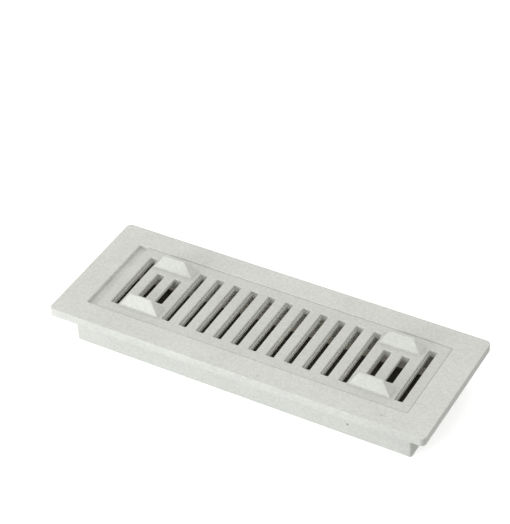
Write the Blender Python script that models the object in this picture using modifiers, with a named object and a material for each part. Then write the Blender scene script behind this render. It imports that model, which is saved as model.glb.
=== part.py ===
"""Closable wall ventilator with a sliding shutter, for a 229 x 76 mm wall opening.

Two mouldings snap together. The frame is a faceplate with a turned-down rim, a rectangular spigot that
goes into the wall, and a bed of slots sunk below the face. The shutter is a plate with slots to match.
It lies on the bed in the faceplate's window, and slides half a slot pitch to the left to shut the slots.
Two finger grips at each end are hipped ridges, and between them the slots are short. Snap clips hang
from the bar between two short slots, pass through one wide opening of the bed and hook under it.

X runs along the grille, Y across it and Z out of its face. The origin is the middle of the spigot's rim,
on which the grille stands, and the shutter is modelled open, at its right-hand stop.
"""

import math

import bmesh
import bpy

MM = 0.001

# Slots of the shutter and, a little narrower, of the bed
SLOT_COUNT = 17
PITCH = 12.0 * MM
SLOT_WIDTH = 5.2 * MM
BED_SLOT_WIDTH = 4.2 * MM
SLOT_LENGTH = 47.6 * MM
SHORT_SLOT_LENGTH = 24.1 * MM
SLOT_CORNER_RADIUS = 0.7 * MM
SLOT_EDGE_RADIUS = 0.6 * MM

# Shutter
SHUTTER_THICKNESS = 2.2 * MM
SHUTTER_END_MARGIN = 6.5 * MM
SHUTTER_SIDE_MARGIN = 7.2 * MM
SHUTTER_CORNER_RADIUS = 1.0 * MM
SHUTTER_EDGE_RADIUS = 0.45 * MM
SHUTTER_BELOW_FACE = 0.2 * MM

# Finger grips, two over each pair of short slots
GRIP_END_MARGIN = 2.0 * MM
GRIP_SHIFT = -0.7 * MM
GRIP_DEPTH = 7.6 * MM
GRIP_HEIGHT = 8.2 * MM
GRIP_SPACING = 40.5 * MM
GRIP_END_SLOPE = 5.7 * MM
GRIP_RIDGE_WIDTH = 1.4 * MM
GRIP_EDGE_RADIUS = 0.5 * MM
GRIP_WALL = 1.5 * MM

# Snap clips under the bar between two short slots
CLIP_THICKNESS = 1.4 * MM
CLIP_CATCH = 0.8 * MM
CLIP_HEAD_HEIGHT = 0.9 * MM
CLIP_LEAD_IN = 1.6 * MM

# Running clearances
SLIDE_CLEARANCE = 0.3 * MM
CLIP_CLEARANCE = 0.4 * MM

# Frame
BED_THICKNESS = 2.6 * MM
FACE_THICKNESS = 2.4 * MM
FACE_END_BORDER = 17.8 * MM
FACE_SIDE_BORDER = 15.4 * MM
FACE_CORNER_RADIUS = 3.2 * MM
FACE_EDGE_RADIUS = 0.4 * MM
RIM_HEIGHT = 5.6 * MM
RIM_THICKNESS = 2.4 * MM
RIM_INNER_RADIUS = 1.0 * MM
WINDOW_CORNER_RADIUS = 1.2 * MM
WINDOW_EDGE_RADIUS = 0.3 * MM
WINDOW_WALL = 1.6 * MM
SPIGOT_DEPTH = 27.7 * MM
SPIGOT_END_INSET = 12.2 * MM
SPIGOT_SIDE_INSET = 9.7 * MM
SPIGOT_WALL = 2.0 * MM
SPIGOT_CORNER_RADIUS = 1.5 * MM
SPIGOT_INNER_RADIUS = 0.6 * MM

# Facets of round corners and edges, and the shape of a rounding that is part of a circle
CORNER_STEPS = 3
FACE_CORNER_STEPS = 8
EDGE_STEPS = 3
ROUND_PROFILE_RATIO = 0.5
WELD_DISTANCE = 0.001 * MM

# How far a cutter runs past a face, and a joined piece into the one that carries it
OVERRUN = 1.0 * MM
BITE = 0.8 * MM

# Colours and finish of the moulded plastic
FRAME_COLOUR = (0.67, 0.68, 0.64, 1.0)
SHUTTER_COLOUR = (0.66, 0.67, 0.63, 1.0)
PLASTIC_ROUGHNESS = 0.5

# Worked out from the values above
TRAVEL = PITCH / 2
SLOT_FIELD = (SLOT_COUNT - 1) * PITCH + SLOT_WIDTH
SHUTTER_LENGTH = SLOT_FIELD + 2 * SHUTTER_END_MARGIN
SHUTTER_WIDTH = SLOT_LENGTH + 2 * SHUTTER_SIDE_MARGIN
WINDOW_LENGTH = SHUTTER_LENGTH + TRAVEL + 2 * SLIDE_CLEARANCE
WINDOW_WIDTH = SHUTTER_WIDTH + 2 * SLIDE_CLEARANCE
FACE_LENGTH = WINDOW_LENGTH + 2 * FACE_END_BORDER
FACE_WIDTH = WINDOW_WIDTH + 2 * FACE_SIDE_BORDER
SPIGOT_LENGTH = FACE_LENGTH - 2 * SPIGOT_END_INSET
SPIGOT_WIDTH = FACE_WIDTH - 2 * SPIGOT_SIDE_INSET
OPEN_X = TRAVEL / 2

FACE_Z = SPIGOT_DEPTH
FACE_UNDERSIDE_Z = FACE_Z - FACE_THICKNESS
RIM_Z = FACE_Z - RIM_HEIGHT
SHUTTER_TOP_Z = FACE_Z - SHUTTER_BELOW_FACE
SHUTTER_UNDERSIDE_Z = SHUTTER_TOP_Z - SHUTTER_THICKNESS
BED_TOP_Z = SHUTTER_UNDERSIDE_Z - SLIDE_CLEARANCE
BED_UNDERSIDE_Z = BED_TOP_Z - BED_THICKNESS

# Each grip pair spans the two slots next to the outermost one
PAIR_SLOTS = ((1, 2), (SLOT_COUNT - 3, SLOT_COUNT - 2))
GRIP_LENGTH = 3 * PITCH - SLOT_WIDTH - 2 * GRIP_END_MARGIN
CORE_HEIGHT = GRIP_HEIGHT - 2 * GRIP_WALL
CLIP_WIDTH = SLOT_WIDTH - 2 * CLIP_CLEARANCE


def clear_scene():
    for item in list(bpy.data.objects):
        bpy.data.objects.remove(item)


def new_collection(name):
    collection = bpy.data.collections.new(name)
    bpy.context.scene.collection.children.link(collection)
    return collection


def new_object(name, mesh, collection, place=(0.0, 0.0, 0.0)):
    item = bpy.data.objects.new(name, mesh)
    item.location = place
    collection.objects.link(item)
    return item


def plastic(name, colour):
    """A satin moulded plastic."""
    material = bpy.data.materials.new(name)
    material.use_nodes = True
    shader = material.node_tree.nodes["Principled BSDF"]
    shader.inputs["Base Color"].default_value = colour
    shader.inputs["Roughness"].default_value = PLASTIC_ROUGHNESS
    shader.inputs["Metallic"].default_value = 0.0
    return material


def rounded_rectangle(length, width, radius, steps=CORNER_STEPS, centre=(0.0, 0.0)):
    """The corner points of a rectangle with round corners, anticlockwise."""
    points = []
    for turn, (side_x, side_y) in enumerate(((1, 1), (-1, 1), (-1, -1), (1, -1))):
        arc_x = centre[0] + side_x * (length / 2 - radius)
        arc_y = centre[1] + side_y * (width / 2 - radius)
        for step in range(steps + 1):
            angle = (turn + step / steps) * math.pi / 2
            points.append((arc_x + radius * math.cos(angle), arc_y + radius * math.sin(angle)))
    return points


def flat_mesh(name, outlines, thickness):
    """A flat solid, centred on Z = 0, from closed outlines; one inside another is a hole."""
    curve = bpy.data.curves.new(name, "CURVE")
    curve.dimensions = "2D"
    curve.fill_mode = "BOTH"
    curve.extrude = thickness / 2
    for outline in outlines:
        spline = curve.splines.new("POLY")
        spline.points.add(len(outline) - 1)
        for point, (x, y) in zip(spline.points, outline):
            point.co = (x, y, 0.0, 1.0)
        spline.use_cyclic_u = True
    carrier = bpy.data.objects.new(name, curve)
    bpy.context.scene.collection.objects.link(carrier)
    graph = bpy.context.evaluated_depsgraph_get()
    mesh = bpy.data.meshes.new_from_object(carrier.evaluated_get(graph))
    bpy.data.objects.remove(carrier)
    bpy.data.curves.remove(curve)
    shape = bmesh.new()
    shape.from_mesh(mesh)
    bmesh.ops.remove_doubles(shape, verts=shape.verts, dist=WELD_DISTANCE)
    bmesh.ops.recalc_face_normals(shape, faces=shape.faces)
    shape.to_mesh(mesh)
    shape.free()
    return mesh


def slab(name, outlines, bottom, top, collection, centre_x=0.0):
    """A flat solid between two heights, as an object whose origin is at its middle."""
    mesh = flat_mesh(name, outlines, top - bottom)
    return new_object(name, mesh, collection, (centre_x, 0.0, (bottom + top) / 2))


def combine(target, tool, operation):
    """Adds a tool to the target or cuts it out, and shows the tool as a guide only."""
    modifier = target.modifiers.new(tool.name, "BOOLEAN")
    modifier.object = tool
    modifier.operation = operation
    tool.hide_render = True
    tool.display_type = "WIRE"


def settle(item):
    """Replaces an object's mesh with what its modifiers make of it."""
    graph = bpy.context.evaluated_depsgraph_get()
    mesh = bpy.data.meshes.new_from_object(item.evaluated_get(graph))
    item.modifiers.clear()
    item.data = mesh


def round_top_edges(item, height, radius):
    """Rounds the sharp edges between an object's flat top, at a world height, and its sides."""
    shape = bmesh.new()
    shape.from_mesh(item.data)
    level = height - item.location.z
    edges = [edge for edge in shape.edges
             if all(abs(vert.co.z - level) < WELD_DISTANCE for vert in edge.verts)
             and edge.calc_face_angle(0.0) > math.pi / 4]
    bmesh.ops.bevel(shape, geom=edges, offset=radius, segments=EDGE_STEPS, profile=ROUND_PROFILE_RATIO,
                    affect="EDGES", clamp_overlap=True)
    shape.to_mesh(item.data)
    shape.free()


def finish(item, material):
    """Gives a moulding its plastic, and smooth shading over its round edges."""
    item.data.materials.clear()
    item.data.materials.append(material)
    item.data.shade_smooth()
    item.data.set_sharp_from_angle(angle=math.radians(35))


def slot_x(index):
    """A slot's place along the grille, from the middle of the row of slots."""
    return (index - (SLOT_COUNT - 1) / 2) * PITCH


def pair_x(pair):
    return (slot_x(pair[0]) + slot_x(pair[1])) / 2


def is_short(index):
    return any(index in pair for pair in PAIR_SLOTS)


def slot_length(index):
    return SHORT_SLOT_LENGTH if is_short(index) else SLOT_LENGTH


def bed_slots():
    """The outlines of the bed's slots: each pair of short ones is a single wide opening for the clips."""
    outlines = [rounded_rectangle(BED_SLOT_WIDTH, SLOT_LENGTH, SLOT_CORNER_RADIUS,
                                  centre=(slot_x(index), 0.0))
                for index in range(SLOT_COUNT) if not is_short(index)]
    outlines += [rounded_rectangle(PITCH + SLOT_WIDTH, SHORT_SLOT_LENGTH, SLOT_CORNER_RADIUS,
                                   centre=(pair_x(pair), 0.0))
                 for pair in PAIR_SLOTS]
    return outlines


def add_wall(shape, length, width, corner_radius, edge_radius, thickness, centre, hole):
    """An upright wall round a plate or a hole in it, from Z = 0 up to an edge that rounds over into the top.

    Returns the edges of its lowest and of its highest ring, for the plate's two faces to span."""
    rings = [(0.0, 0.0)]
    for step in range(EDGE_STEPS + 1):
        angle = step / EDGE_STEPS * math.pi / 2
        rings.append((edge_radius * (1 - math.cos(angle)), thickness - edge_radius * (1 - math.sin(angle))))
    below = None
    borders = []
    for inset, height in rings:
        grow = inset if hole else -inset
        outline = rounded_rectangle(length + 2 * grow, width + 2 * grow, corner_radius + grow, centre=centre)
        ring = [shape.verts.new((x, y, height)) for x, y in outline]
        pairs = list(zip(range(len(ring)), [*range(1, len(ring)), 0]))
        if below:
            for first, second in pairs:
                shape.faces.new((below[first], below[second], ring[second], ring[first]))
        borders.append([(ring[first], ring[second]) for first, second in pairs])
        below = ring
    return [[shape.edges.get(pair) for pair in borders[place]] for place in (0, -1)]


def slotted_plate(name, bottom, top, collection, centre_x):
    """The shutter's plate, with the upper edges of its slots and its outline rounded."""
    thickness = top - bottom
    shape = bmesh.new()
    walls = [add_wall(shape, SHUTTER_LENGTH, SHUTTER_WIDTH, SHUTTER_CORNER_RADIUS, SHUTTER_EDGE_RADIUS,
                      thickness, (0.0, 0.0), False)]
    for index in range(SLOT_COUNT):
        walls.append(add_wall(shape, SLOT_WIDTH, slot_length(index), SLOT_CORNER_RADIUS, SLOT_EDGE_RADIUS,
                              thickness, (slot_x(index), 0.0), True))
    for borders in zip(*walls):
        bmesh.ops.triangle_fill(shape, use_beauty=True, edges=[edge for border in borders for edge in border])
    bmesh.ops.recalc_face_normals(shape, faces=shape.faces)
    mesh = bpy.data.meshes.new(name)
    shape.to_mesh(mesh)
    shape.free()
    return new_object(name, mesh, collection, (centre_x, 0.0, bottom))


def hipped_block(name, length, depth, height, end_slope, ridge_width, sink, place, collection):
    """A block drawn up into a ridge, whose sides slope on down as far as it sinks into what carries it."""
    ridge = (length - 2 * end_slope, ridge_width, height)
    deeper = 1 + sink / height
    base = (ridge[0] + 2 * end_slope * deeper, ridge[1] + (depth - ridge_width) * deeper, -sink)
    mesh = bpy.data.meshes.new(name)
    shape = bmesh.new()
    bmesh.ops.create_cube(shape, size=1.0)
    for vert in shape.verts:
        size_x, size_y, level = ridge if vert.co.z > 0 else base
        vert.co = (vert.co.x * size_x, vert.co.y * size_y, level)
    shape.to_mesh(mesh)
    shape.free()
    return new_object(name, mesh, collection, place)


def add_grip(shutter, name, x, y, tools):
    """One finger grip on the shutter, cored out from below."""
    grip = hipped_block(name, GRIP_LENGTH, GRIP_DEPTH, GRIP_HEIGHT, GRIP_END_SLOPE, GRIP_RIDGE_WIDTH,
                        BITE, (x, y, SHUTTER_TOP_Z), tools)
    rounding = grip.modifiers.new("rounded", "BEVEL")
    rounding.width = GRIP_EDGE_RADIUS
    rounding.segments = 2
    rounding.limit_method = "ANGLE"
    rounding.angle_limit = math.radians(40)
    combine(shutter, grip, "UNION")
    core = hipped_block(name + "_core", GRIP_LENGTH - 2 * GRIP_WALL, GRIP_DEPTH - 2 * GRIP_WALL,
                        CORE_HEIGHT, GRIP_END_SLOPE * CORE_HEIGHT / GRIP_HEIGHT, GRIP_WALL / 2,
                        SHUTTER_THICKNESS + OVERRUN, (x, y, SHUTTER_TOP_Z), tools)
    combine(shutter, core, "DIFFERENCE")


def add_clip(shutter, name, x, side, tools):
    """One snap clip: a leg from the shutter's underside, with a head that hooks under the bed."""
    face = SHORT_SLOT_LENGTH / 2 - CLIP_CLEARANCE
    back = face - CLIP_THICKNESS
    nose = face + CLIP_CLEARANCE + CLIP_CATCH
    shoulder = BED_UNDERSIDE_Z - SLIDE_CLEARANCE
    outline = [
        (back, SHUTTER_UNDERSIDE_Z + BITE),
        (face, SHUTTER_UNDERSIDE_Z + BITE),
        (face, shoulder),
        (nose, shoulder),
        (nose, shoulder - CLIP_HEAD_HEIGHT),
        (face - CLIP_THICKNESS / 2, shoulder - CLIP_HEAD_HEIGHT - CLIP_LEAD_IN),
        (back, shoulder - CLIP_HEAD_HEIGHT - CLIP_LEAD_IN),
    ]
    mesh = flat_mesh(name, [outline], CLIP_WIDTH)
    clip = new_object(name, mesh, tools, (x, 0.0, 0.0))
    # The outline's X becomes the grille's Y, front or back, and its Y becomes height
    clip.rotation_euler = (math.pi / 2, 0.0, side * math.pi / 2)
    combine(shutter, clip, "UNION")


def build_frame(parts, tools):
    """The faceplate, its rim, the spigot and the slotted bed, as one moulding."""
    face_outline = rounded_rectangle(FACE_LENGTH, FACE_WIDTH, FACE_CORNER_RADIUS, FACE_CORNER_STEPS)
    frame = slab("grille_frame", [face_outline], RIM_Z, FACE_Z, parts)
    round_top_edges(frame, FACE_Z, FACE_EDGE_RADIUS)

    hollow_outline = rounded_rectangle(FACE_LENGTH - 2 * RIM_THICKNESS, FACE_WIDTH - 2 * RIM_THICKNESS,
                                       RIM_INNER_RADIUS)
    hollow = slab("face_hollow", [hollow_outline], RIM_Z - OVERRUN, FACE_UNDERSIDE_Z, tools)
    combine(frame, hollow, "DIFFERENCE")

    spigot_outlines = [
        rounded_rectangle(SPIGOT_LENGTH, SPIGOT_WIDTH, SPIGOT_CORNER_RADIUS),
        rounded_rectangle(SPIGOT_LENGTH - 2 * SPIGOT_WALL, SPIGOT_WIDTH - 2 * SPIGOT_WALL,
                          SPIGOT_INNER_RADIUS),
    ]
    spigot = slab("spigot", spigot_outlines, 0.0, FACE_UNDERSIDE_Z + BITE, tools)
    combine(frame, spigot, "UNION")

    pan_outline = rounded_rectangle(WINDOW_LENGTH + 2 * WINDOW_WALL, WINDOW_WIDTH + 2 * WINDOW_WALL,
                                    WINDOW_CORNER_RADIUS)
    pan = slab("bed_pan", [pan_outline], BED_UNDERSIDE_Z, FACE_UNDERSIDE_Z + BITE, tools)
    combine(frame, pan, "UNION")

    window_outline = rounded_rectangle(WINDOW_LENGTH, WINDOW_WIDTH, WINDOW_CORNER_RADIUS)
    window = slab("window", [window_outline], BED_TOP_Z, FACE_Z + OVERRUN, tools)
    combine(frame, window, "DIFFERENCE")
    settle(frame)
    round_top_edges(frame, FACE_Z, WINDOW_EDGE_RADIUS)

    slots = slab("bed_slots", bed_slots(), BED_UNDERSIDE_Z - OVERRUN, BED_TOP_Z + OVERRUN, tools, OPEN_X)
    combine(frame, slots, "DIFFERENCE")
    return frame


def build_shutter(parts, tools):
    """The sliding shutter with its grips and clips, as one moulding, open at its right-hand stop."""
    shutter = slotted_plate("sliding_shutter", SHUTTER_UNDERSIDE_Z, SHUTTER_TOP_Z, parts, OPEN_X)
    for pair, end in zip(PAIR_SLOTS, ("left", "right")):
        x = OPEN_X + pair_x(pair)
        for side, place in ((-1, "front"), (1, "back")):
            add_grip(shutter, f"grip_{end}_{place}", x + GRIP_SHIFT, side * GRIP_SPACING / 2, tools)
            add_clip(shutter, f"clip_{end}_{place}", x, side, tools)
    return shutter


def main():
    clear_scene()
    parts = new_collection("ventilation_grille")
    tools = new_collection("tools")
    frame = build_frame(parts, tools)
    finish(frame, plastic("frame_plastic", FRAME_COLOUR))
    shutter = build_shutter(parts, tools)
    finish(shutter, plastic("shutter_plastic", SHUTTER_COLOUR))


main()
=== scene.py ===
"""Looks of a closable wall ventilator with a sliding shutter.

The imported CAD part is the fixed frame. Its two mouldings are shown by finer ones whose edges are truly
round, worked out with numpy as closed skins, in an off-white satin plastic with a spark-eroded grain. A
plain white studio stands round them. X runs along the grille, Y across it and Z out of its face, in metres.
"""

import math

import bmesh
import bpy
import numpy as np
from bpy.props import FloatProperty, FloatVectorProperty, IntProperty, PointerProperty
from mathutils import Matrix, Vector


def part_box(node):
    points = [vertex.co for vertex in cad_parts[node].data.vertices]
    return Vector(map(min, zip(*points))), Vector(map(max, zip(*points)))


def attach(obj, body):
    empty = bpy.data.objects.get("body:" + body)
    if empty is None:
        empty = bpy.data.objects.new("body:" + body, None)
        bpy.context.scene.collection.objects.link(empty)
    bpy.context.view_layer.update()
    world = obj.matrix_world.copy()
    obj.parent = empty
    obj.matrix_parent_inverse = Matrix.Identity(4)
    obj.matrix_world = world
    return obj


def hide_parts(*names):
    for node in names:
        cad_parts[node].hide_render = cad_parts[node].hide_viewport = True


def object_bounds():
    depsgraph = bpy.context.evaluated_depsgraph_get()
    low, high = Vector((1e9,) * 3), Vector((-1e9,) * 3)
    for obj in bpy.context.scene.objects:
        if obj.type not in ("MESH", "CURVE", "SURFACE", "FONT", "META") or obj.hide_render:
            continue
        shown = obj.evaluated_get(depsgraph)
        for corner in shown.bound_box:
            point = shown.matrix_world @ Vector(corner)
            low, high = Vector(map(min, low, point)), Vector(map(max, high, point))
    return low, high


bl_info = {
    "name": "Hit-and-miss wall grille",
    "version": (1, 0, 0),
    "blender": (4, 5, 0),
    "location": "3D View > Sidebar > Grille",
    "description": "Fine mouldings, satin plastic and studio for a closable wall grille",
    "category": "Object",
}

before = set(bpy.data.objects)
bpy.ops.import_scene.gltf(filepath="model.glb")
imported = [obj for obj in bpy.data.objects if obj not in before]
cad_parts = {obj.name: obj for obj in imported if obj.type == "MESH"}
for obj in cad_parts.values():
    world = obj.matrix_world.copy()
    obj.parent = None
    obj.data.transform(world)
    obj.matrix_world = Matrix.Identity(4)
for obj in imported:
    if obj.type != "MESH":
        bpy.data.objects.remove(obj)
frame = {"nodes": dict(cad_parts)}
CAD_LOW, CAD_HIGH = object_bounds()
FRAME_LOW, FRAME_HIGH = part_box("grille_frame")
SHUTTER_LOW, SHUTTER_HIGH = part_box("sliding_shutter")
SHUTTER_MIDDLE = (SHUTTER_LOW.x + SHUTTER_HIGH.x) / 2

MM = 0.001

# How finely round corners in plan and round edges are divided, and how close points are welded
CORNER_STEPS = 8
EDGE_STEPS = 8
WELD_DISTANCE = 0.001 * MM

# A support ring runs beside each round edge, this far from it or this share of the side's length
SUPPORT_REACH = 0.5 * MM
SUPPORT_SHARE = 0.2

# A grip's flat skirt reaches this many foot radii out, and lies this far over the plate to cover it
SKIRT_SHARE = 1.2
SKIRT_LIFT = 0.01 * MM

# The detail and roughness of the noise in cloudy patches, mottle, pits of the grain, and wear, and the
# hollows' dust and painted shade
PATCH_NOISE = (3.0, 0.55)
MOTTLE_NOISE = (4.0, 0.6)
PIT_NOISE = (2.0, 0.6)
BREAK_UP_NOISE = (4.0, 0.65)

# The range of noise that becomes 0 to 1, and how much of the mottle stands in the grain's relief
NOISE_SPAN = (0.3, 0.7)
MOTTLE_RELIEF = 0.7

# Noise breaks up wear, and the hollows' dust and painted shade: the range of it that does, and what is left
# of them at the range's two ends
WORN_SHARE = (0.35, 0.65, 0.35, 1.0)
DUST_AND_SHADE_SHARE = (0.3, 0.65, 0.25, 1.0)

# Specks: a small one's radius, as a share of the speck size, lies between the first number and 1 more. The
# other two are the shares of the radius that are fully dark, in a small speck and in a placed one
SPECK_LEAST = 0.3
SPECK_CORE = 0.6
PLACED_CORE = 0.3

# Plastic: its refractive index, how far its roughness swings with the mottle, and what the mark of dust and
# painted shade in hollows adds to it
PLASTIC_IOR = 1.49
ROUGHNESS_SWING = (-0.05, 0.07)
DUST_ROUGHNESS = 0.3

# Painted contact shade round the grips lies within the first distance of the plate's top, and is gone at
# the second
PLATE_LEVEL = (0.1 * MM, 0.6 * MM)

# Stage: the floor below the rim and the strip in which its colour changes, and the card above the rim, its
# gap to the duct's walls, half the softness of the line between its painted shadow and painted light, and
# the size and detail of its fibre
FLOOR_DROP = 0.05 * MM
FLOOR_FADE = 20 * MM
CARD_LIFT = 0.2 * MM
CARD_GAP = 0.1 * MM
CARD_SHADE_LINE = 0.3 * MM
CARD_FIBRE = 0.8 * MM
CARD_FIBRE_DETAIL = 3.0

# The card's colours at the dark and the light end of its fibre: its painted shadow in front, its painted
# light behind, and the pale colour that it bounces light with; then its painted glow's colour, and its
# strength in front and behind
CARD_PAINTED_SHADOW = ((0.078, 0.070, 0.060, 1.0), (0.098, 0.089, 0.076, 1.0))
CARD_PAINTED_LIGHT = ((0.24, 0.22, 0.19, 1.0), (0.30, 0.275, 0.235, 1.0))
CARD_BOUNCE = ((0.86, 0.79, 0.68, 1.0), (0.92, 0.85, 0.74, 1.0))
CARD_PAINTED_GLOW_COLOUR = (1.0, 0.92, 0.79, 1.0)
CARD_PAINTED_GLOW_LEVELS = (0.004, 0.078)
WHITE = (1.0, 1.0, 1.0, 1.0)

# Camera: the sensor's width in millimetres, and the nearest and farthest that it sees
SENSOR_WIDTH = 36.0
VIEW_RANGE = (0.05, 20.0)

# Three specks of the frame: place, radius and strength
FRAME_SPECKS = (
    ((73.1 * MM, -37.0 * MM, 8.5 * MM), 1.1 * MM, 0.75),
    ((96.0 * MM, -39.4 * MM, 27.7 * MM), 1.3 * MM, 0.22),
    ((17.0 * MM, -42.1 * MM, 27.7 * MM), 1.2 * MM, 0.2),
)


def length(name, description, default):
    """A size in metres."""
    return FloatProperty(name=name, description=description, default=default, min=0.0, precision=4,
                         unit="LENGTH")


def share(name, description, default):
    """A number from 0 to 1."""
    return FloatProperty(name=name, description=description, default=default, min=0.0, max=1.0,
                         subtype="FACTOR")


def turn(name, description, default):
    """An angle, given in degrees."""
    return FloatProperty(name=name, description=description, default=math.radians(default),
                         subtype="ANGLE", unit="ROTATION")


def colour(name, description, default):
    """A linear colour."""
    return FloatVectorProperty(name=name, description=description, default=default, size=3, min=0.0,
                               max=1.0, subtype="COLOR")


class GRILLE_PG_slots(bpy.types.PropertyGroup):
    """The row of slots in the shutter and in the bed."""

    count: IntProperty(name="Slots", description="Number of slots in the row", default=17, min=5)
    pitch: length("Pitch", "Distance from one slot to the next", 12.0 * MM)
    width: length("Width", "Width of the shutter's slots", 5.2 * MM)
    bed_width: length("Bed width", "Width of the bed's slots", 4.2 * MM)
    long: length("Length", "Length of a slot", 47.6 * MM)
    short: length("Short length", "Length of the slots between two grips", 24.1 * MM)
    corner: length("Corner radius", "Radius of a slot's corners", 0.7 * MM)
    field: length("Field width", "Width of the flat strip that the slots are cut in", 54.0 * MM)


class GRILLE_PG_frame(bpy.types.PropertyGroup):
    """The frame: faceplate, rim, spigot and bed."""

    face_length: length("Face length", "Length of the faceplate", FRAME_HIGH.x - FRAME_LOW.x)
    face_width: length("Face width", "Width of the faceplate", FRAME_HIGH.y - FRAME_LOW.y)
    face_height: length("Face height", "Height of the face over the spigot's rim", FRAME_HIGH.z)
    face_thickness: length("Face thickness", "Thickness of the faceplate", 2.4 * MM)
    face_corner: length("Face corner radius", "Radius of the faceplate's corners", 3.2 * MM)
    face_edge: length("Face edge radius", "Radius of the faceplate's outer edge", 0.4 * MM)
    rim_height: length("Rim height", "Height of the turned-down rim, with the face", 5.6 * MM)
    rim_thickness: length("Rim thickness", "Thickness of the turned-down rim", 2.4 * MM)
    rim_corner: length("Rim inner radius", "Radius of the rim's corners inside", 1.0 * MM)
    end_border: length("End border", "Face from the window to its end", 17.9 * MM)
    side_border: length("Side border", "Face from the window to its long side", 15.5 * MM)
    window_corner: length("Window corner radius", "Radius of the window's corners", 1.2 * MM)
    window_edge: length("Window edge radius", "Radius of the window's edge", 0.3 * MM)
    window_wall: length("Window wall", "Thickness of the wall round the sunk bed", 1.7 * MM)
    bed_depth: length("Bed depth", "Depth of the bed below the face", 2.7 * MM)
    bed_thickness: length("Bed thickness", "Thickness of the bed", 2.6 * MM)
    spigot_end_inset: length("Spigot end inset", "Spigot's end from the face's end", 12.2 * MM)
    spigot_side_inset: length("Spigot side inset", "Spigot's side from the face's side", 9.7 * MM)
    spigot_wall: length("Spigot wall", "Thickness of the spigot", 2.0 * MM)
    spigot_corner: length("Spigot corner radius", "Radius of the spigot's corners outside", 1.5 * MM)
    spigot_inner: length("Spigot inner radius", "Radius of the spigot's corners inside", 0.6 * MM)
    small_edge: length("Small edge radius", "Radius of the hidden and inner edges", 0.25 * MM)
    slot_edge: length("Bed slot edge radius", "Radius of the bed's slot edges", 0.15 * MM)


class GRILLE_PG_shutter(bpy.types.PropertyGroup):
    """The sliding plate."""

    thickness: length("Thickness", "Thickness of the plate, which rests on the bed", 2.45 * MM)
    below_face: length("Below face", "Plate's top below the face", 0.2 * MM)
    corner: length("Corner radius", "Radius of the plate's corners", 1.0 * MM)
    top_edge: length("Top edge radius", "Radius of the plate's upper edge", 0.45 * MM)
    lower_edge: length("Lower edge radius", "Radius of the lower edges of plate and slots", 0.1 * MM)
    slot_edge: length("Slot edge radius", "Radius of the slots' upper edges", 0.6 * MM)


class GRILLE_PG_grips(bpy.types.PropertyGroup):
    """The four hipped finger grips."""

    end_margin: length("End margin", "Grip's end from the next long slot", 2.0 * MM)
    shift: FloatProperty(name="Shift", default=-0.7 * MM, precision=4, unit="LENGTH",
                         description="Grip's middle from the middle of the two short slots")
    depth: length("Depth", "Depth of a grip at its foot", 7.6 * MM)
    spacing: length("Spacing", "Middle of the front grip to middle of the back one", 40.5 * MM)
    end_slope: length("End slope", "How far a grip's end leans in", 5.7 * MM)
    ridge: length("Ridge width", "Width of the flat ridge", 1.4 * MM)
    corner: length("Corner radius", "Radius of the upright corners", 0.6 * MM)
    edge: length("Edge radius", "Radius of the ridge's edges", 0.55 * MM)
    foot: length("Foot radius", "Radius of the hollow where a grip meets the plate", 0.7 * MM)
    # Painted contact shade lies on the plate this far round a grip's foot
    contact_shade_reach: length("Dust reach", "How far dust lies on the plate round a grip's foot", 3.0 * MM)


class GRILLE_PG_clips(bpy.types.PropertyGroup):
    """The four snap clips under the plate."""

    thickness: length("Thickness", "Thickness of a clip's leg", 1.4 * MM)
    clearance: length("Clearance", "Gap between a clip and the bed's opening", 0.4 * MM)
    catch: length("Catch", "How far a head reaches under the bed", 0.8 * MM)
    head: length("Head height", "Height of a head's upright face", 0.9 * MM)
    lead_in: length("Lead-in", "Height of a head's sloping face", 1.6 * MM)
    slide_gap: length("Slide gap", "Gap between head and bed", 0.3 * MM)
    edge: length("Edge radius", "Radius of a clip's edges", 0.15 * MM)


class GRILLE_PG_plastic(bpy.types.PropertyGroup):
    """The moulded plastic's colours and finish."""

    frame: colour("Frame", "Colour of the frame's plastic", (0.68, 0.69, 0.65))
    shutter: colour("Shutter", "Colour of the shutter's plastic", (0.63, 0.64, 0.60))
    # The hollows' darkening colour: partly dust and partly painted shade in hollows, and painted contact
    # shade round the grips' feet
    dust: colour("Dust", "Colour of the dust in hollows", (0.46, 0.455, 0.43))
    speck: colour("Speck", "Colour of the small specks in the plastic", (0.13, 0.12, 0.10))
    roughness: share("Roughness", "Roughness of the satin face", 0.5)
    worn_roughness: share("Worn roughness", "Roughness of edges polished by handling", 0.34)
    patch_tone: share("Patch tone", "Lightness difference of cloudy patches", 0.035)
    grain_tone: share("Grain tone", "Lightness difference of the grain", 0.09)
    patch_size: length("Patch size", "Size of a cloudy patch", 26.0 * MM)
    mottle_size: length("Mottle size", "Size of the mottle in the grain", 1.7 * MM)
    grain_size: length("Grain size", "Size of one grain of the spark-eroded finish", 0.28 * MM)
    grain_depth: length("Grain depth", "Depth of the spark-eroded finish", 0.012 * MM)
    speck_spacing: length("Speck spacing", "Cell size in which a speck may lie", 11.0 * MM)
    speck_size: length("Speck size", "Radius of a speck", 0.32 * MM)
    speck_share: share("Speck share", "Share of cells that hold a speck", 0.07)
    # How strongly hollows darken, with dust and with painted shade
    dust_and_shade_amount: share("Dust amount", "How strongly dust covers hollows", 0.6)


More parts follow.
